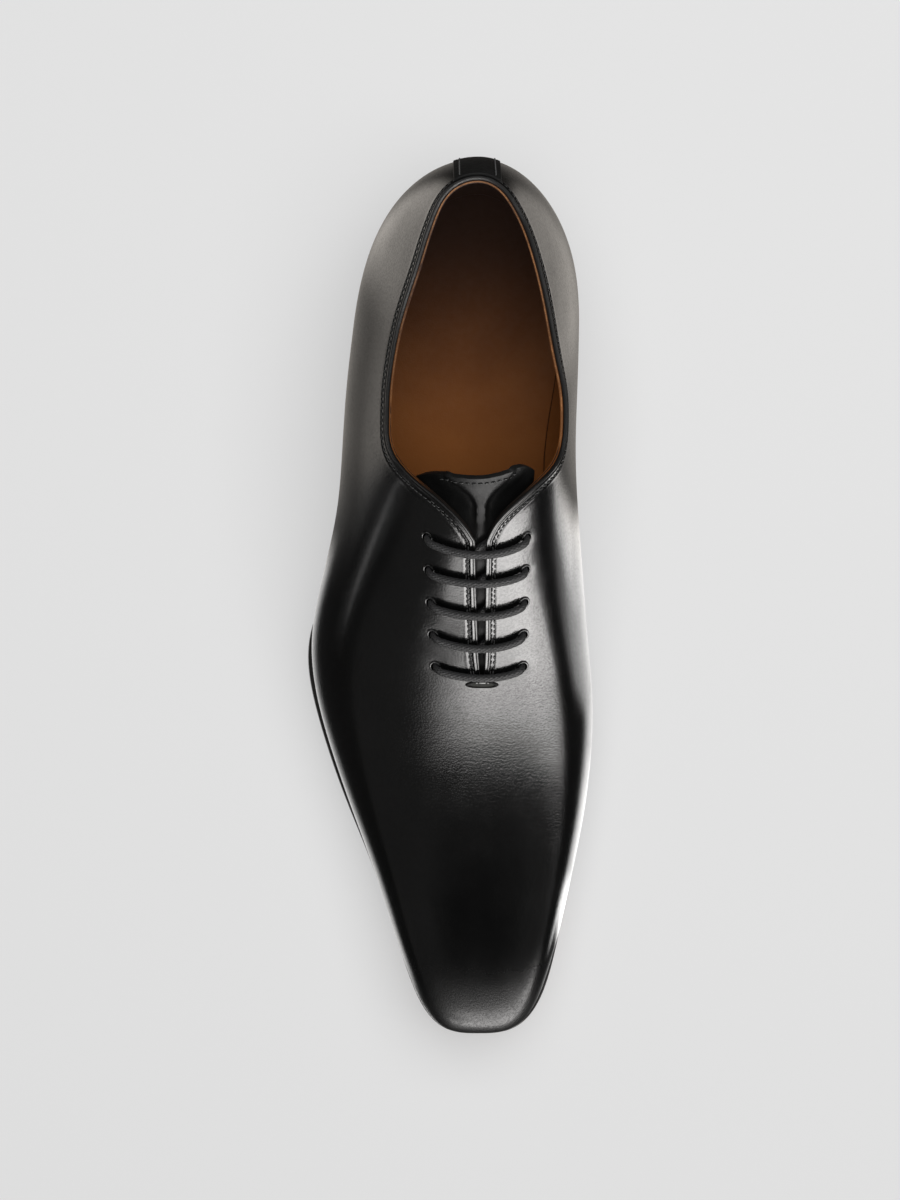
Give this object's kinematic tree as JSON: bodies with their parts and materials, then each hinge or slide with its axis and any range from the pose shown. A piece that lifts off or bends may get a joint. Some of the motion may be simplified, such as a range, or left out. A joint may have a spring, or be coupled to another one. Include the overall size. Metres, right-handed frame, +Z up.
{
  "type": "whole cut oxford shoe",
  "caption": "Right whole cut oxford: hollow one-piece upper, straight lacing under a closed throat, leather sole with a stacked heel.",
  "frame": {"origin": "on the floor, under the centre of the bounding box", "axes": "+Z up, toe towards -Y, heel towards +Y, inner (medial) side towards +X"},
  "size_m": [0.1026, 0.311, 0.1015],
  "materials": {
    "black_calf": "polished box calf",
    "black_leather": "waxed leather lifts",
    "black_sole_edge": "inked and waxed edge",
    "tan_leather": "plain vegetable tanned leather",
    "black_rubber": "matte",
    "waxed_cotton": "waxed round cord"
  },
  "bodies": {
    "root": {"upper": "black_calf", "tongue": "black_calf", "heel_tab": "black_calf", "lace": "waxed_cotton", "insole": "tan_leather", "outsole": "black_sole_edge", "heel_stack": "black_leather", "top_lift": "black_rubber"}
  },
  "joints": []
}
